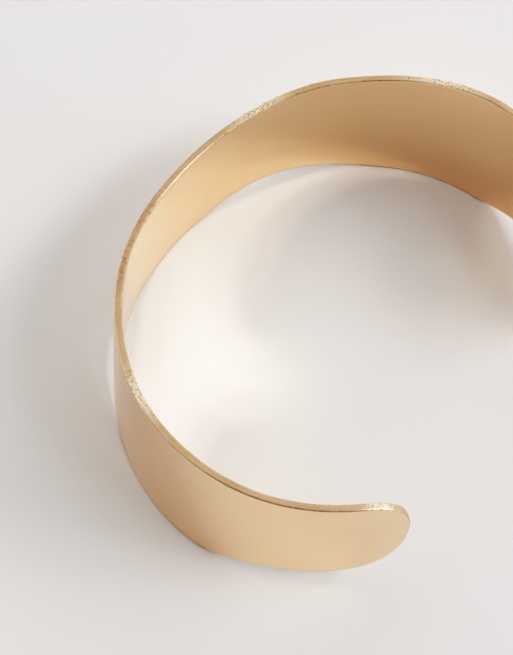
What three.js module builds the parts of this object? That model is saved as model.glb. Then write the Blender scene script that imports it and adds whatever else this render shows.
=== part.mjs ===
// An open cuff bangle: one strip of gold-toned sheet metal with softly waved long edges
// and rounded ends, bent round into a C.
//
// Millimetres, +Z up. The cuff lies on its side on the plane z = 0 and opens towards +X.
// The origin is on that plane, under the middle of the cuff's bounding box.
// The two halves mirror each other across y = 0, so the tables below describe one half:
// "along" runs from the middle of the back to the tip, on the sheet's middle surface.

import * as THREE from 'three';

// Driving dimensions.
const HALF_LENGTH = 70;
const SHEET_THICKNESS = 0.9;
const EDGE_BEVEL = 0.12;
const TIP_LENGTH = 7;
const TIP_ROUNDNESS = 2.4; // 2 is a half ellipse, and more is squarer
const BACK_RADIUS = 33;
const SHOULDER_RADIUS = 21;
const END_RADIUS = 38;

// How tightly the sheet is bent in plan: one radius over the back, the tightest bend at the
// shoulder, and a flatter stretch towards the tip.
const BEND = [
  { along: 0, radius: BACK_RADIUS },
  { along: 12, radius: BACK_RADIUS },
  { along: 52, radius: SHOULDER_RADIUS },
  { along: HALF_LENGTH, radius: END_RADIUS },
];

// The crests and hollows of the two long edges, as heights over the resting plane.
// The cuff stands on the stretches where the bottom edge is at height 0.
const BOTTOM_EDGE = [
  { along: 0, height: 0 },
  { along: 3, height: 0 },
  { along: 17, height: 1.5 },
  { along: 33, height: 0 },
  { along: 44, height: 0 },
  { along: 56, height: 2.5 },
  { along: HALF_LENGTH, height: 2.5 },
];
const TOP_EDGE = [
  { along: 0, height: 16 },
  { along: 25, height: 19 },
  { along: 44, height: 20.5 },
  { along: HALF_LENGTH, height: 19.5 },
];

// Fineness of the mesh.
const BODY_STEPS = 90;
const TIP_STEPS = 16;
const TIP_SWEEP = THREE.MathUtils.degToRad(89);
const BEND_STEPS = 240;

// The value of a table's column at any length, easing from each row to the next.
function valueAt(table, column, along) {
  const row = table.findLastIndex((station) => station.along <= along);
  const here = table[Math.min(row, table.length - 2)];
  const next = table[Math.min(row, table.length - 2) + 1];
  const part = THREE.MathUtils.smoothstep(along, here.along, next.along);
  return THREE.MathUtils.lerp(here[column], next[column], part);
}

// Where the sheet's middle surface lies in plan, and which way it heads there.
// The walk starts at the middle of the back, heads towards -Y and turns towards +X.
function bendTo(along) {
  const step = along / BEND_STEPS;
  const place = { x: 0, y: 0, heading: -Math.PI / 2 };
  for (let i = 0; i < BEND_STEPS; i += 1) {
    const turn = step / valueAt(BEND, 'radius', (i + 0.5) * step);
    place.x += step * Math.cos(place.heading + turn / 2);
    place.y += step * Math.sin(place.heading + turn / 2);
    place.heading += turn;
  }
  return place;
}

// The two edges at one length. Narrowing is 1 along the body and falls to 0 at the tip,
// where both edges meet half-way up.
function edgesAt(along, narrowing) {
  const bottom = valueAt(BOTTOM_EDGE, 'height', along);
  const top = valueAt(TOP_EDGE, 'height', along);
  const middle = (bottom + top) / 2;
  return {
    along,
    bottom: THREE.MathUtils.lerp(middle, bottom, narrowing),
    top: THREE.MathUtils.lerp(middle, top, narrowing),
  };
}

// The outline of the flat half strip: even steps along the body, then a rounded tip.
function halfOutline() {
  const bodyLength = HALF_LENGTH - TIP_LENGTH;
  const sections = [];
  for (let i = 0; i < BODY_STEPS; i += 1) {
    sections.push(edgesAt((bodyLength * i) / BODY_STEPS, 1));
  }
  for (let i = 0; i <= TIP_STEPS; i += 1) {
    const angle = (TIP_SWEEP * i) / TIP_STEPS;
    const reach = Math.sin(angle) ** (2 / TIP_ROUNDNESS);
    const narrowing = Math.cos(angle) ** (2 / TIP_ROUNDNESS);
    sections.push(edgesAt(bodyLength + TIP_LENGTH * reach, narrowing));
  }
  return sections;
}

// Moves a point of the flat outline inwards by the bevel, square to the outline.
// Inward is 1 for the bottom edge and -1 for the top edge.
function insetPoint(sections, index, edge, inward) {
  const isBack = index === 0;
  const isTip = index === sections.length - 1;
  const before = sections[isBack ? index : index - 1];
  const after = sections[isTip ? index : index + 1];
  const direction = new THREE.Vector2(after.along - before.along, after[edge] - before[edge]);
  if (isBack) direction.set(1, 0);
  if (isTip) direction.set(0, inward);
  direction.normalize();
  return {
    along: sections[index].along - inward * direction.y * EDGE_BEVEL,
    height: sections[index][edge] + inward * direction.x * EDGE_BEVEL,
  };
}

// Bends one point of the flat sheet into space. Depth is measured outwards from the middle
// surface, and side is -1 for the half that is mirrored to positive y.
function bendPoint(point, depth, side) {
  const place = bendTo(point.along);
  const x = place.x + depth * Math.sin(place.heading);
  const y = place.y - depth * Math.cos(place.heading);
  return new THREE.Vector3(x, side * y, point.height);
}

// The eight corners of a section: both long edges, each with a bevel on either face.
function sectionRing(sections, index, side) {
  const face = SHEET_THICKNESS / 2;
  const bevelled = face - EDGE_BEVEL;
  const { along, bottom, top } = sections[index];
  const topEdge = { along, height: top };
  const bottomEdge = { along, height: bottom };
  const topInset = insetPoint(sections, index, 'top', -1);
  const bottomInset = insetPoint(sections, index, 'bottom', 1);
  return [
    bendPoint(topInset, face, side),
    bendPoint(topEdge, bevelled, side),
    bendPoint(topEdge, -bevelled, side),
    bendPoint(topInset, -face, side),
    bendPoint(bottomInset, -face, side),
    bendPoint(bottomEdge, -bevelled, side),
    bendPoint(bottomEdge, bevelled, side),
    bendPoint(bottomInset, face, side),
  ];
}

// Joins the rings into one closed body, with a cap over the flat of the tip at each end.
function closedBody(rings) {
  const corners = rings[0].length;
  const triangles = [];
  const addQuad = (a, b, c, d) => triangles.push(a, b, c, a, c, d);
  for (let ring = 0; ring < rings.length - 1; ring += 1) {
    for (let corner = 0; corner < corners; corner += 1) {
      const here = ring * corners + corner;
      const beside = ring * corners + ((corner + 1) % corners);
      addQuad(here, here + corners, beside + corners, beside);
    }
  }
  const last = (rings.length - 1) * corners;
  for (let corner = 0; corner < corners / 2 - 1; corner += 1) {
    const opposite = corners - 1 - corner;
    addQuad(corner, corner + 1, opposite - 1, opposite);
    addQuad(last + opposite, last + opposite - 1, last + corner + 1, last + corner);
  }
  const geometry = new THREE.BufferGeometry().setFromPoints(rings.flat());
  geometry.setIndex(triangles);
  return geometry;
}

function cuffGeometry() {
  const sections = halfOutline();
  const indices = sections.map((section, index) => index);
  const mirrored = indices.slice(1).reverse().map((index) => sectionRing(sections, index, -1));
  const direct = indices.map((index) => sectionRing(sections, index, 1));
  const geometry = closedBody([...mirrored, ...direct]);
  geometry.computeBoundingBox();
  const middle = geometry.boundingBox.getCenter(new THREE.Vector3());
  geometry.translate(-middle.x, 0, 0);
  geometry.computeVertexNormals();
  return geometry;
}

const goldTone = new THREE.MeshStandardMaterial({
  color: 0xd9b07c,
  roughness: 0.3,
  metalness: 1,
});

const cuffBand = new THREE.Mesh(cuffGeometry(), goldTone);
cuffBand.name = 'cuff_band';

const bangle = new THREE.Group();
bangle.add(cuffBand);

export default bangle;
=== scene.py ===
"""Looks for the open cuff bangle: one strip of satin gold-toned sheet, bent into a C and lying on
its side."""

import math

import bpy
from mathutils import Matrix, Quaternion, Vector


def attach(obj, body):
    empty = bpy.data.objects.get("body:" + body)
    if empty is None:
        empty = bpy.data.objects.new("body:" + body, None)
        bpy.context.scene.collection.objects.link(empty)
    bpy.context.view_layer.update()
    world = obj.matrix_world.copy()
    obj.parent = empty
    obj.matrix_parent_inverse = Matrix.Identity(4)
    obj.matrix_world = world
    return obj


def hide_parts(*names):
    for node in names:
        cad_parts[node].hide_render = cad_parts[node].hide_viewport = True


MM = 0.001

# The strip, in millimetres. "Along" runs from the middle of the back to the tip of one half,
# on the sheet's middle surface, and the other half mirrors it.
HALF_LENGTH = 70
SHEET_THICKNESS = 0.9
EDGE_ROUNDING = 0.17
TIP_LENGTH = 7
TIP_ROUNDNESS = 2.4  # 2 is a half ellipse, and more is squarer
BACK_RADIUS = 33
SHOULDER_RADIUS = 21
END_RADIUS = 38

# How tightly the sheet is bent: (along, radius). One radius over the back, the tightest bend at
# the shoulder, and a flatter stretch towards the tip.
BEND = (
    (0, BACK_RADIUS),
    (12, BACK_RADIUS),
    (52, SHOULDER_RADIUS),
    (HALF_LENGTH, END_RADIUS),
)

# Crests and hollows of the two long edges: (along, height over the resting plane).
BOTTOM_EDGE = (
    (0, 0),
    (3, 0),
    (17, 1.5),
    (33, 0),
    (44, 0),
    (56, 2.5),
    (HALF_LENGTH, 2.5),
)
TOP_EDGE = (
    (0, 16),
    (25, 19),
    (44, 20.5),
    (HALF_LENGTH, 19.5),
)

# Columns of the strip's outline, which is kept as (along, bottom, top).
BOTTOM = 1
TOP = 2

# Fineness of the sheet's mesh.
BODY_STEPS = 170
TIP_STEPS = 28
BEND_STEPS = 600
ROUNDING_STEPS = 4
EDGE_STRIPES = 4
# Rows of the walls between the two edges: a share of the way across, tighter near the edges.
WALL_ROWS = (0.012, 0.05, 0.16, 0.33, 0.5, 0.67, 0.84, 0.95, 0.988)

# The camera, in millimetres and degrees. Azimuth 0 looks along +Y.
CAMERA_AIM = (-5.2, -8, 10)
CAMERA_AZIMUTH = 29
CAMERA_ELEVATION = 61
CAMERA_DISTANCE = 240
CAMERA_ROLL = 8
CAMERA_LENS = 110
CAMERA_SENSOR = 36
CAMERA_NEAREST = 10

# The plating, as it reflects white light.
PLATE_COLOR = (0.93, 0.70, 0.49, 1)
PLATE_DEEP_COLOR = (0.91, 0.67, 0.46, 1)
PLATE_WORN_COLOR = (0.95, 0.77, 0.58, 1)
SHEARED_COLOR = (0.71, 0.52, 0.36, 1)
# The deeper sheared colour is also painted into the edge's dents as painted shade.
SHEARED_DEEP_COLOR = (0.60, 0.42, 0.27, 1)
# A painted sheen: the pale colour painted on the edge's frosted stretches, standing in for the light
# they scatter.
FROSTED_SHEEN_COLOR = (0.98, 0.84, 0.64, 1)

# The walls' finish. Roughness goes from the smoothest patches to the roughest, and sizes are in
# millimetres on the sheet. The relief is how deep the fine streaks are, and the depth of a prick
# or a dent counts in streaks.
WALL_ROUGHNESS = (0.105, 0.14)
WALL_HAZE_SIZE = 7
WALL_TONE_SIZE = 16
WALL_STREAK_LENGTH = 9
WALL_STREAK_WIDTH = 0.16
WALL_STREAK_ROUGHNESS = 0.03
WALL_RELIEF = 0.02
WALL_RELIEF_STRENGTH = 0.05
PRICK_ROOM = 0.28
PRICK_SHARE = 0.012
PRICK_DEPTH = 1.5
# The rubbed line beside the edges: how wide, how uneven its border, and how far it is worn.
RUBBED_WIDTH = 0.7
RUBBED_BORDER_SIZE = 2.5
RUBBED_UNEVENNESS = 0.5
RUBBED_WEAR = 0.6

# The sheared edge's finish, given in the same way.
EDGE_ROUGHNESS = (0.26, 0.35)
EDGE_GRAIN_SIZE = 0.6
EDGE_TONE_SIZE = 5
EDGE_LINE_LENGTH = 6
EDGE_LINE_WIDTH = 0.22
EDGE_LINE_SHADE = 0.6
EDGE_TONE_SHADE = 0.4
EDGE_RELIEF = 0.03
EDGE_RELIEF_STRENGTH = 0.25
# Where the edge is frosted, and painted with a pale sheen: (along, reach). Along is below 0 on the
# other half.
FROST_AND_SHEEN_STRETCHES = ((33.5, 5), (66, 2.6), (-13.5, 5), (-37, 7))
FROSTED_ROUGHNESS = 0.15
# The dents that crowd the frosted stretches, in patches with more and with fewer of them. Each dent
# is painted darker, as painted shade.
DENT_ROOM = 0.3
DENT_DEPTH = 3
DENT_PATCH_SIZE = 1.5
DENT_PATCH_SHARE = (0.7, 1)

# The pale card under the cuff, with sizes in millimetres.
FLOOR_COLOR = (0.80, 0.775, 0.762, 1)
FLOOR_SHADED_COLOR = (0.79, 0.766, 0.755, 1)
FLOOR_REACH = 1500
FLOOR_ROUGHNESS = 0.8
FLOOR_SHINE = 0.2
FLOOR_CLOUD_SIZE = 60
FLOOR_TOOTH_SIZE = 0.4
FLOOR_TOOTH_DEPTH = 0.05
FLOOR_TOOTH_STRENGTH = 0.04

# Where Blender's mix node keeps its two colours and their blend.
MIX_COLOR_INPUTS = slice(6, 8)
MIX_COLOR_OUTPUT = 2

# The part of each noise's values that is spread over the effect's whole range.
STREAK_NOISE = (0.3, 0.7)
PATCH_NOISE = (0.33, 0.67)
# How far a dent reaches from its middle, as shares of its room: whole up to the first, then fading.
DENT_RIM = (0.35, 0.6)

# The lights stand on a dome round the cuff. Azimuth 0 is +X, where the cuff is open, and 90 is +Y.
# Degrees, metres and watts.
LIGHT_DISTANCE = 0.9
# The window's panes are alike and stand higher towards its near side: (azimuth, elevation).
WINDOW_PANES = ((10, 55), (28, 44), (28, 20), (46, 40))
PANE_WIDTH = 0.30
PANE_HEIGHT = 0.17
PANE_POWER = 1.3
# Big soft boxes fill the other sides: (name, azimuth, elevation, width, height, power).
SOFT_BOXES = (
    ("top box", 119, 66, 0.80, 0.75, 0.95),
    ("back box", 85, 38, 0.50, 0.35, 0.3),
    ("front box", 240, 50, 0.50, 0.40, 0.4),
    ("ceiling box", 205, 55, 0.60, 0.40, 0.6),
    ("back wall", 120, 18, 0.80, 0.30, 1.6),
    ("low back box", 72, 16, 0.40, 0.40, 0.45),
    ("left wall", 180, 18, 0.80, 0.30, 1.6),
)
SKY_STRENGTH = 0.27
# How far light that the satin walls throw is softened. It is low, so that the light inside the
# cuff keeps its bright curved edge on the floor.
THROWN_LIGHT_BLUR = 0.1

# How bright light is shown: (light, shown), a gentle S that holds the highlights back.
TONE_CURVE = (
    (0.1, 0.045),
    (0.3, 0.285),
    (0.5, 0.55),
    (0.9, 0.855),
    (1.7, 0.98),
)


def eased(table, along):
    """A table's value at any length, easing from each row to the next."""
    for (start, low), (end, high) in zip(table, table[1:]):
        if along <= end:
            part = min(max((along - start) / (end - start), 0), 1)
            return low + (high - low) * part * part * (3 - 2 * part)
    return table[-1][1]


def bend_walk():
    """Where the middle surface lies in plan and which way it heads, at even steps along one half.
    The walk starts at the middle of the back, heads towards -Y and turns towards +X."""
    step = HALF_LENGTH / BEND_STEPS
    x, y, heading = 0.0, 0.0, -math.pi / 2
    walk = [(x, y, heading)]
    for i in range(BEND_STEPS):
        turn = step / eased(BEND, (i + 0.5) * step)
        x += step * math.cos(heading + turn / 2)
        y += step * math.sin(heading + turn / 2)
        heading += turn
        walk.append((x, y, heading))
    return walk


def place_on(walk, along):
    """The walk's place and heading at one length, between its even steps."""
    spot = min(max(along / HALF_LENGTH * BEND_STEPS, 0), BEND_STEPS)
    before = min(int(spot), BEND_STEPS - 1)
    part = spot - before
    return [a + (b - a) * part for a, b in zip(walk[before], walk[before + 1])]


def half_outline():
    """The outline of the flat half strip as (along, bottom, top): even steps along the body, then a
    rounded tip."""
    body = HALF_LENGTH - TIP_LENGTH
    stations = [(body * i / BODY_STEPS, 1.0) for i in range(BODY_STEPS)]
    for i in range(TIP_STEPS + 1):
        angle = math.pi / 2 * i / TIP_STEPS
        reach = math.sin(angle) ** (2 / TIP_ROUNDNESS)
        stations.append((body + TIP_LENGTH * reach, max(math.cos(angle), 0) ** (2 / TIP_ROUNDNESS)))
    outline = []
    for along, narrowing in stations:
        bottom, top = eased(BOTTOM_EDGE, along), eased(TOP_EDGE, along)
        middle = (bottom + top) / 2
        low = middle + (bottom - middle) * narrowing
        high = middle + (top - middle) * narrowing
        outline.append((along, low, high))
    return outline


def inward(outline, index, edge):
    """The direction in the flat strip, square to its outline and into the sheet."""
    side = 1 if edge == BOTTOM else -1
    if index == 0:
        return Vector((0, side))
    if index == len(outline) - 1:
        return Vector((-1, 0))
    before, after = outline[index - 1], outline[index + 1]
    run = Vector((after[0] - before[0], after[edge] - before[edge])).normalized()
    return Vector((-run.y * side, run.x * side))


def edge_profile():
    """The section over one long edge, from the outer face to the inner one, as (depth, inset):
    a flat stripe between two rounded corners."""
    face = SHEET_THICKNESS / 2
    flat = face - EDGE_ROUNDING
    corner = [math.pi / 2 * i / ROUNDING_STEPS for i in range(ROUNDING_STEPS + 1)]
    outer = [(flat + EDGE_ROUNDING * math.cos(a), EDGE_ROUNDING * (1 - math.sin(a))) for a in corner]
    stripes = [(flat - 2 * flat * i / EDGE_STRIPES, 0.0) for i in range(1, EDGE_STRIPES)]
    inner = [(-depth, inset) for depth, inset in reversed(outer)]
    return outer + stripes + inner


def section_ring(outline, index, walk, side):
    """One section of the strip as points in space, places on the flat sheet and gaps to its edge.
    Side is -1 for the half that is mirrored to positive y. The ring runs over the top edge, down
    the inner face, under the bottom edge and up the outer face."""
    along, bottom, top = outline[index]
    profile = edge_profile()
    face = SHEET_THICKNESS / 2
    into_top, into_bottom = inward(outline, index, TOP), inward(outline, index, BOTTOM)
    upper = [
        (along + into_top.x * inset, top + into_top.y * inset, depth)
        for depth, inset in profile
    ]
    lower = [
        (along + into_bottom.x * inset, bottom + into_bottom.y * inset, depth)
        for depth, inset in reversed(profile)
    ]
    high, low = upper[-1], lower[0]
    down = [
        (high[0] + (low[0] - high[0]) * row, high[1] + (low[1] - high[1]) * row, -face)
        for row in WALL_ROWS
    ]
    up = [(a, height, face) for a, height, depth in reversed(down)]
    flat_places = upper + down + lower + up
    across = (Vector(high[:2]) - Vector(low[:2])).length
    insets = [inset for depth, inset in profile]
    wall_gaps = [min(row, 1 - row) * across + insets[-1] for row in WALL_ROWS]
    gaps = insets + wall_gaps + insets[::-1] + wall_gaps[::-1]
    points = []
    for a, height, depth in flat_places:
        x, y, heading = place_on(walk, a)
        points.append((x + depth * math.sin(heading), side * (y - depth * math.cos(heading)), height))
    return points, [(side * a, height, depth) for a, height, depth in flat_places], gaps


def sheet_faces(ring_count, corners):
    """The four-cornered faces between the rings, and which of them lie on the long edges."""
    edge_count = len(edge_profile())
    faces, on_edge = [], []
    for ring in range(ring_count - 1):
        for corner in range(corners):
            here = ring * corners + corner
            beside = ring * corners + (corner + 1) % corners
            faces.append((here, here + corners, beside + corners, beside))
            on_top = corner < edge_count - 1
            under = edge_count + len(WALL_ROWS) <= corner < 2 * edge_count + len(WALL_ROWS) - 1
            on_edge.append(on_top or under)
    return faces, on_edge


def cuff_band():
    """The whole cuff as one mesh, folded shut at both tips. Its walls use material slot 0 and its
    edges slot 1. The attribute sheet_place says where each point lies on the flat sheet, and
    edge_gap how far it is from the sheet's edge."""
    walk, outline = bend_walk(), half_outline()
    mirrored = [section_ring(outline, i, walk, -1) for i in range(len(outline) - 1, 0, -1)]
    direct = [section_ring(outline, i, walk, 1) for i in range(len(outline))]
    rings = mirrored + direct
    points = [point for ring in rings for point in ring[0]]
    places = [place for ring in rings for place in ring[1]]
    gaps = [gap for ring in rings for gap in ring[2]]
    middle_x = (min(p[0] for p in points) + max(p[0] for p in points)) / 2
    points = [((x - middle_x) * MM, y * MM, z * MM) for x, y, z in points]
    faces, on_edge = sheet_faces(len(rings), len(rings[0][0]))
    mesh = bpy.data.meshes.new("cuff")
    mesh.from_pydata(points, [], faces)
    place = mesh.attributes.new("sheet_place", "FLOAT_VECTOR", "POINT")
    place.data.foreach_set("vector", [number * MM for spot in places for number in spot])
    edge_gap = mesh.attributes.new("edge_gap", "FLOAT", "POINT")
    edge_gap.data.foreach_set("value", [gap * MM for gap in gaps])
    mesh.polygons.foreach_set("material_index", [int(edge) for edge in on_edge])
    mesh.polygons.foreach_set("use_smooth", [True] * len(faces))
    mesh.validate()
    mesh.update()
    cuff = bpy.data.objects.new("cuff", mesh)
    bpy.context.scene.collection.objects.link(cuff)
    return cuff


def add_node(tree, kind, inputs=(), **settings):
    """A shader node with its settings, and its inputs given as values or as sockets to link."""
    made = tree.nodes.new("ShaderNode" + kind)
    for name, value in settings.items():
        setattr(made, name, value)
    for key, value in dict(inputs).items():
        if isinstance(value, bpy.types.NodeSocket):
            tree.links.new(value, made.inputs[key])
        else:
            made.inputs[key].default_value = value
    return made


def new_group(name, inputs, outputs):
    """An empty node group with named sockets, given as (name, kind)."""
    group = bpy.data.node_groups.new(name, "ShaderNodeTree")
    for direction, sockets in (("INPUT", inputs), ("OUTPUT", outputs)):
        for socket, kind in sockets:
            group.interface.new_socket(name=socket, in_out=direction, socket_type="NodeSocket" + kind)
    return group, group.nodes.new("NodeGroupInput"), group.nodes.new("NodeGroupOutput")


def drawn_streaks():
    """Fine uneven streaks on the sheet: Along Size is their length and Across Size their width."""
    group, given, result = new_group(
        "drawn streaks",
        (("Place", "Vector"), ("Along Size", "Float"), ("Across Size", "Float")),
        (("Streaks", "Float"),),
    )
    along, across = given.outputs["Along Size"], given.outputs["Across Size"]
    sizes = add_node(group, "CombineXYZ", {"X": along, "Y": across, "Z": across})
    scaled = add_node(
        group, "VectorMath", {0: given.outputs["Place"], 1: sizes.outputs[0]}, operation="DIVIDE"
    )
    noise = add_node(
        group, "TexNoise", {"Vector": scaled.outputs[0], "Scale": 1, "Detail": 3, "Roughness": 0.65}
    )
    low, high = STREAK_NOISE
    spread = add_node(
        group, "MapRange", {"Value": noise.outputs["Fac"], "From Min": low, "From Max": high}
    )
    group.links.new(spread.outputs["Result"], result.inputs["Streaks"])
    return group


def soft_patches():
    """Slow cloudy changes over the sheet, from Low to High, with Size the length of one patch."""
    group, given, result = new_group(
        "soft patches",
        (("Place", "Vector"), ("Size", "Float"), ("Low", "Float"), ("High", "Float")),
        (("Amount", "Float"),),
    )
    per_metre = add_node(group, "Math", {0: 1.0, 1: given.outputs["Size"]}, operation="DIVIDE")
    noise = add_node(
        group,
        "TexNoise",
        {
            "Vector": given.outputs["Place"],
            "Scale": per_metre.outputs[0],
            "Detail": 2,
            "Roughness": 0.5,
        },
    )
    low, high = PATCH_NOISE
    spread = add_node(
        group,
        "MapRange",
        {
            "Value": noise.outputs["Fac"],
            "From Min": low,
            "From Max": high,
            "To Min": given.outputs["Low"],
            "To Max": given.outputs["High"],
        },
        interpolation_type="SMOOTHSTEP",
    )
    group.links.new(spread.outputs["Result"], result.inputs["Amount"])
    return group


def fine_specks():
    """Scattered tiny dents: Size is the room that each has, and Share the part of the rooms that
    hold one."""
    group, given, result = new_group(
        "fine specks",
        (("Place", "Vector"), ("Size", "Float"), ("Share", "Float")),
        (("Specks", "Float"),),
    )
    per_metre = add_node(group, "Math", {0: 1.0, 1: given.outputs["Size"]}, operation="DIVIDE")
    rooms = add_node(
        group, "TexVoronoi", {"Vector": given.outputs["Place"], "Scale": per_metre.outputs[0]}
    )
    chance = add_node(group, "SeparateColor", {"Color": rooms.outputs["Color"]})
    chosen = add_node(
        group, "Math", {0: chance.outputs[0], 1: given.outputs["Share"]}, operation="LESS_THAN"
    )
    whole, gone = DENT_RIM
    dot = add_node(
        group,
        "MapRange",
        {
            "Value": rooms.outputs["Distance"],
            "From Min": whole,
            "From Max": gone,
            "To Min": 1,
            "To Max": 0,
        },
    )
    specks = add_node(
        group, "Math", {0: chosen.outputs[0], 1: dot.outputs["Result"]}, operation="MULTIPLY"
    )
    group.links.new(specks.outputs[0], result.inputs["Specks"])
    return group


def rubbed_rim():
    """Where the plating is rubbed bright beside the sheet's edge: 1 at the edge, and 0 further in
    than Width, with an uneven border."""
    group, given, result = new_group(
        "rubbed rim",
        (("Edge Gap", "Float"), ("Width", "Float"), ("Unevenness", "Float")),
        (("Rubbed", "Float"),),
    )
    gap, width = given.outputs["Edge Gap"], given.outputs["Width"]
    share = add_node(group, "Math", {0: gap, 1: width}, operation="DIVIDE")
    pushed = add_node(
        group, "Math", {0: share.outputs[0], 1: given.outputs["Unevenness"]}, operation="ADD"
    )
    spread = add_node(
        group,
        "MapRange",
        {"Value": pushed.outputs[0], "From Min": 0, "From Max": 1, "To Min": 1, "To Max": 0},
        interpolation_type="SMOOTHSTEP",
    )
    group.links.new(spread.outputs["Result"], result.inputs["Rubbed"])
    return group


def frost_and_sheen_share(tree, place):
    """How frosted the edge is, and how much painted pale sheen it carries: most at the middle of each
    stretch, and not at all past its reach."""
    along = add_node(tree, "SeparateXYZ", {0: place}).outputs["X"]
    share = None
    for middle, reach in FROST_AND_SHEEN_STRETCHES:
        off = add_node(tree, "Math", {0: along, 1: middle * MM}, operation="SUBTRACT").outputs[0]
        gap = add_node(tree, "Math", {0: off}, operation="ABSOLUTE").outputs[0]
        near = add_node(
            tree, "MapRange", {"Value": gap, "From Max": reach * MM, "To Min": 1, "To Max": 0}
        )
        if share is None:
            share = near.outputs["Result"]
        else:
            pair = {0: share, 1: near.outputs["Result"]}
            share = add_node(tree, "Math", pair, operation="MAXIMUM").outputs[0]
    return share


def place_group(tree, group, inputs):
    """Puts one of the groups into a material, with its own values."""
    made = tree.nodes.new("ShaderNodeGroup")
    made.node_tree = group
    for key, value in inputs.items():
        if isinstance(value, bpy.types.NodeSocket):
            tree.links.new(value, made.inputs[key])
        else:
            made.inputs[key].default_value = value
    return made.outputs[0]


def blend_color(tree, share, first, second):
    """One colour turning into another as share goes from 0 to 1."""
    mix = tree.nodes.new("ShaderNodeMix")
    mix.data_type = "RGBA"
    shares, colors = mix.inputs["Factor"], mix.inputs[MIX_COLOR_INPUTS]
    for socket, value in zip((shares, *colors), (share, first, second)):
        if isinstance(value, bpy.types.NodeSocket):
            tree.links.new(value, socket)
        else:
            socket.default_value = value
    return mix.outputs[MIX_COLOR_OUTPUT]


def new_metal(name):
    """A metal material, its node tree and shader, and the sheet's own places to work from."""
    material = bpy.data.materials.new(name)
    material.use_nodes = True
    tree = material.node_tree
    shader = tree.nodes["Principled BSDF"]
    shader.inputs["Metallic"].default_value = 1
    place = add_node(tree, "Attribute", attribute_name="sheet_place").outputs["Vector"]
    return material, tree, shader, place


def gold_wall(effects):
    """Satin gold plating on rolled sheet: slow changes of tone, faint streaks along the strip, a
    few pin-prick marks, and a brighter rubbed line beside the edges."""
    material, tree, shader, place = new_metal("satin gold wall")
    gap = add_node(tree, "Attribute", attribute_name="edge_gap").outputs["Fac"]
    smoothest, roughest = WALL_ROUGHNESS
    streaks = place_group(
        tree,
        effects["streaks"],
        {
            "Place": place,
            "Along Size": WALL_STREAK_LENGTH * MM,
            "Across Size": WALL_STREAK_WIDTH * MM,
        },
    )
    tone = place_group(
        tree, effects["patches"], {"Place": place, "Size": WALL_TONE_SIZE * MM, "Low": 0, "High": 1}
    )
    haze = place_group(
        tree,
        effects["patches"],
        {"Place": place, "Size": WALL_HAZE_SIZE * MM, "Low": smoothest, "High": roughest},
    )
    border = place_group(
        tree,
        effects["patches"],
        {"Place": place, "Size": RUBBED_BORDER_SIZE * MM, "Low": 0, "High": RUBBED_UNEVENNESS},
    )
    rubbed = place_group(
        tree, effects["rub"], {"Edge Gap": gap, "Width": RUBBED_WIDTH * MM, "Unevenness": border}
    )
    pricks = place_group(
        tree, effects["specks"], {"Place": place, "Size": PRICK_ROOM * MM, "Share": PRICK_SHARE}
    )
    color = blend_color(tree, tone, PLATE_COLOR, PLATE_DEEP_COLOR)
    worn = add_node(tree, "Math", {0: rubbed, 1: RUBBED_WEAR}, operation="MULTIPLY").outputs[0]
    color = blend_color(tree, worn, color, PLATE_WORN_COLOR)
    tree.links.new(color, shader.inputs["Base Color"])
    rough = add_node(
        tree, "Math", {0: streaks, 1: WALL_STREAK_ROUGHNESS, 2: haze}, operation="MULTIPLY_ADD"
    )
    tree.links.new(rough.outputs[0], shader.inputs["Roughness"])
    dented = add_node(
        tree, "Math", {0: pricks, 1: -PRICK_DEPTH, 2: streaks}, operation="MULTIPLY_ADD"
    )
    bump = add_node(
        tree,
        "Bump",
        {"Height": dented.outputs[0], "Strength": WALL_RELIEF_STRENGTH, "Distance": WALL_RELIEF * MM},
    )
    tree.links.new(bump.outputs[0], shader.inputs["Normal"])
    return material


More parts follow.
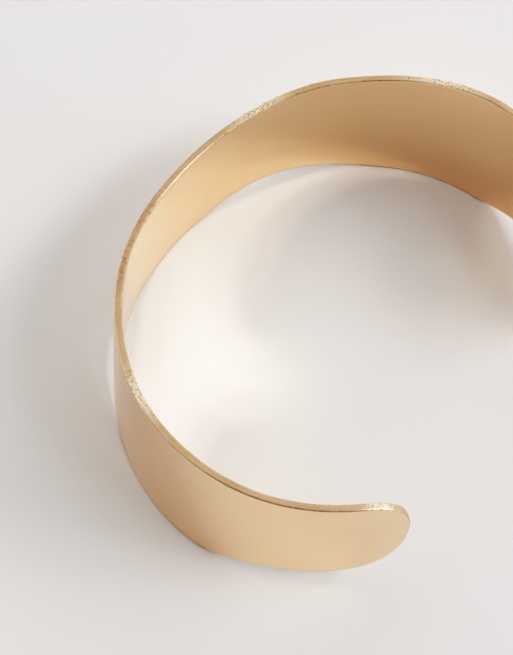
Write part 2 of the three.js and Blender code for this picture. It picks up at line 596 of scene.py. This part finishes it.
def gold_edge(effects):
    """The sheared edge of the sheet: fine lines along it, slow changes of tone, a fine grain, and a
    few frosted stretches painted pale as a painted sheen, crowded with tiny dents painted darker as
    painted shade."""
    material, tree, shader, place = new_metal("sheared gold edge")
    smoothest, roughest = EDGE_ROUGHNESS
    fewest, most = DENT_PATCH_SHARE
    grain = place_group(
        tree,
        effects["patches"],
        {"Place": place, "Size": EDGE_GRAIN_SIZE * MM, "Low": smoothest, "High": roughest},
    )
    lines = place_group(
        tree,
        effects["streaks"],
        {"Place": place, "Along Size": EDGE_LINE_LENGTH * MM, "Across Size": EDGE_LINE_WIDTH * MM},
    )
    tone = place_group(
        tree, effects["patches"], {"Place": place, "Size": EDGE_TONE_SIZE * MM, "Low": 0, "High": 1}
    )
    crowding = place_group(
        tree,
        effects["patches"],
        {"Place": place, "Size": DENT_PATCH_SIZE * MM, "Low": fewest, "High": most},
    )
    frost_and_sheen = frost_and_sheen_share(tree, place)
    crowd = add_node(tree, "Math", {0: frost_and_sheen, 1: crowding}, operation="MULTIPLY").outputs[0]
    dents = place_group(
        tree, effects["specks"], {"Place": place, "Size": DENT_ROOM * MM, "Share": crowd}
    )
    lined = add_node(tree, "Math", {0: lines, 1: EDGE_LINE_SHADE}, operation="MULTIPLY").outputs[0]
    shade = add_node(tree, "Math", {0: tone, 1: EDGE_TONE_SHADE, 2: lined}, operation="MULTIPLY_ADD")
    color = blend_color(tree, shade.outputs[0], SHEARED_COLOR, SHEARED_DEEP_COLOR)
    # Painted sheen: the frosted stretches are painted pale.
    color = blend_color(tree, frost_and_sheen, color, FROSTED_SHEEN_COLOR)
    # Painted shade: each dent on the edge is painted the deeper colour.
    color = blend_color(tree, dents, color, SHEARED_DEEP_COLOR)
    tree.links.new(color, shader.inputs["Base Color"])
    rough = add_node(
        tree, "Math", {0: frost_and_sheen, 1: FROSTED_ROUGHNESS, 2: grain}, operation="MULTIPLY_ADD"
    )
    tree.links.new(rough.outputs[0], shader.inputs["Roughness"])
    dented = add_node(tree, "Math", {0: dents, 1: -DENT_DEPTH, 2: lines}, operation="MULTIPLY_ADD")
    bump = add_node(
        tree,
        "Bump",
        {"Height": dented.outputs[0], "Strength": EDGE_RELIEF_STRENGTH, "Distance": EDGE_RELIEF * MM},
    )
    tree.links.new(bump.outputs[0], shader.inputs["Normal"])
    return material


def floor_paper(effects):
    """Smooth pale card with a faint cloudiness and a fine tooth."""
    material = bpy.data.materials.new("pale card")
    material.use_nodes = True
    tree = material.node_tree
    shader = tree.nodes["Principled BSDF"]
    place = add_node(tree, "TexCoord").outputs["Object"]
    cloud = place_group(
        tree, effects["patches"], {"Place": place, "Size": FLOOR_CLOUD_SIZE * MM, "Low": 0, "High": 1}
    )
    color = blend_color(tree, cloud, FLOOR_COLOR, FLOOR_SHADED_COLOR)
    tree.links.new(color, shader.inputs["Base Color"])
    shader.inputs["Roughness"].default_value = FLOOR_ROUGHNESS
    shader.inputs["Specular IOR Level"].default_value = FLOOR_SHINE
    tooth = place_group(
        tree, effects["patches"], {"Place": place, "Size": FLOOR_TOOTH_SIZE * MM, "Low": 0, "High": 1}
    )
    bump = add_node(
        tree,
        "Bump",
        {"Height": tooth, "Strength": FLOOR_TOOTH_STRENGTH, "Distance": FLOOR_TOOTH_DEPTH * MM},
    )
    tree.links.new(bump.outputs[0], shader.inputs["Normal"])
    return material


def pale_floor():
    """The level sheet of card that the cuff lies on."""
    reach = FLOOR_REACH * MM
    corners = [(-reach, -reach, 0), (reach, -reach, 0), (reach, reach, 0), (-reach, reach, 0)]
    mesh = bpy.data.meshes.new("floor")
    mesh.from_pydata(corners, [], [(0, 1, 2, 3)])
    floor = bpy.data.objects.new("floor", mesh)
    bpy.context.scene.collection.objects.link(floor)
    return floor


def set_camera():
    """The camera, which looks down on its aim from the -Y side and is rolled a little."""
    azimuth, elevation = math.radians(CAMERA_AZIMUTH), math.radians(CAMERA_ELEVATION)
    level = math.cos(elevation)
    back = Vector((math.sin(azimuth) * level, -math.cos(azimuth) * level, math.sin(elevation)))
    data = bpy.data.cameras.new("camera")
    data.lens = CAMERA_LENS
    data.sensor_width = CAMERA_SENSOR
    data.clip_start = CAMERA_NEAREST * MM
    camera = bpy.data.objects.new("camera", data)
    camera.location = (Vector(CAMERA_AIM) + back * CAMERA_DISTANCE) * MM
    camera.rotation_mode = "QUATERNION"
    roll = Quaternion((0, 0, 1), math.radians(CAMERA_ROLL))
    camera.rotation_quaternion = (-back).to_track_quat("-Z", "Y") @ roll
    bpy.context.scene.collection.objects.link(camera)
    bpy.context.scene.camera = camera


def soft_box(name, azimuth, elevation, width, height, power):
    """A soft rectangular light that faces the cuff."""
    a, e = math.radians(azimuth), math.radians(elevation)
    towards = Vector((math.cos(a) * math.cos(e), math.sin(a) * math.cos(e), math.sin(e)))
    data = bpy.data.lights.new(name, "AREA")
    data.shape = "RECTANGLE"
    data.size = width
    data.size_y = height
    data.energy = power
    light = bpy.data.objects.new(name, data)
    light.location = towards * LIGHT_DISTANCE
    light.rotation_mode = "QUATERNION"
    light.rotation_quaternion = (-towards).to_track_quat("-Z", "Y")
    bpy.context.scene.collection.objects.link(light)


def window():
    """The window's panes, on the cuff's open side."""
    for azimuth, elevation in WINDOW_PANES:
        soft_box("pane", azimuth, elevation, PANE_WIDTH, PANE_HEIGHT, PANE_POWER)


def even_sky():
    """A weak even light from all round."""
    world = bpy.data.worlds.new("studio")
    world.use_nodes = True
    background = world.node_tree.nodes["Background"]
    background.inputs["Color"].default_value = (1, 1, 1, 1)
    background.inputs["Strength"].default_value = SKY_STRENGTH
    bpy.context.scene.world = world


def tone_curve(view):
    """Sets the curve between the light that is caught and the light that is shown."""
    view.view_transform = "Standard"
    view.use_curve_mapping = True
    mapping = view.curve_mapping
    brightest = TONE_CURVE[-1][0]
    mapping.white_level = (brightest,) * 3
    mapping.extend = "HORIZONTAL"
    all_colors = mapping.curves[3]
    all_colors.points[-1].location = (1, TONE_CURVE[-1][1])
    for light, shown in TONE_CURVE[:-1]:
        all_colors.points.new(light / brightest, shown)
    mapping.update()


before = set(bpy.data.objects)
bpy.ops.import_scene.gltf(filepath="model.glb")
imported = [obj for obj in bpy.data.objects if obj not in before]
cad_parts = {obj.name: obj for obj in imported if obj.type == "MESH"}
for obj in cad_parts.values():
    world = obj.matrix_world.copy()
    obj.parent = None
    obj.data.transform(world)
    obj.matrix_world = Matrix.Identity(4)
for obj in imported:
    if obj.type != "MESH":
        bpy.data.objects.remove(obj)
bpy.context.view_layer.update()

effects = {
    "streaks": drawn_streaks(),
    "patches": soft_patches(),
    "specks": fine_specks(),
    "rub": rubbed_rim(),
}
cuff = cuff_band()
cuff.data.materials.append(gold_wall(effects))
cuff.data.materials.append(gold_edge(effects))
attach(cuff, "root")
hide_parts("cuff_band")

floor = pale_floor()
floor.data.materials.append(floor_paper(effects))
set_camera()
even_sky()
window()
for box in SOFT_BOXES:
    soft_box(*box)
bpy.context.scene.cycles.blur_glossy = THROWN_LIGHT_BLUR
tone_curve(bpy.context.scene.view_settings)
